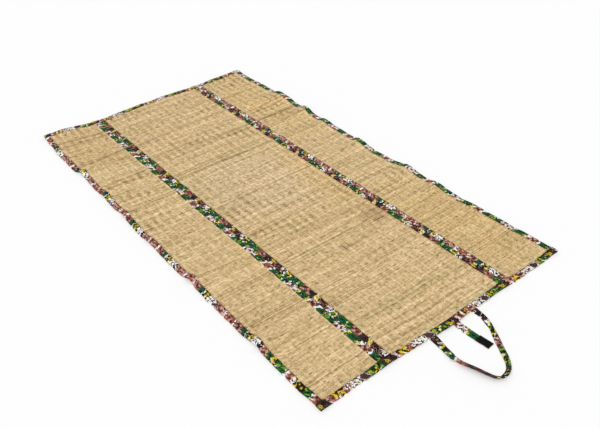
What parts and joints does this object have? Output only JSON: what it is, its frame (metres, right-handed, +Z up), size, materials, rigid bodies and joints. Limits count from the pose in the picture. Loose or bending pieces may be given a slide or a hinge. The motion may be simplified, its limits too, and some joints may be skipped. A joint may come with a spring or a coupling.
{
  "type": "woven floor mat",
  "caption": "Folding straw floor mat of woven panels bound in printed tape, unrolled flat, with a carrying loop and a closing tab at one end.",
  "frame": {"origin": "on the floor under the middle of the mat, on the centre panel's underside", "axes": "+X across the mat to its right edge, +Y along it to the end without the carrying loop, +Z up"},
  "size_m": [0.9117, 1.8572, 0.0228],
  "materials": {
    "straw": "dry woven rush, matt with a faint sheen along the stalks",
    "printed_tape": "matt printed cotton in green, brown, pink, yellow and white",
    "hook_tape": "matt black hook tape"
  },
  "bodies": {
    "root": {"panel_left": "straw", "panel_centre": "straw", "panel_right": "straw", "binding_left_outer": "printed_tape", "binding_left_inner": "printed_tape", "binding_centre_left": "printed_tape", "binding_centre_right": "printed_tape", "binding_right_inner": "printed_tape", "binding_right_outer": "printed_tape", "end_binding_near": "printed_tape", "end_binding_far": "printed_tape", "handle_strap": "printed_tape", "closing_tab": "printed_tape", "hook_patch": "hook_tape"}
  },
  "joints": []
}
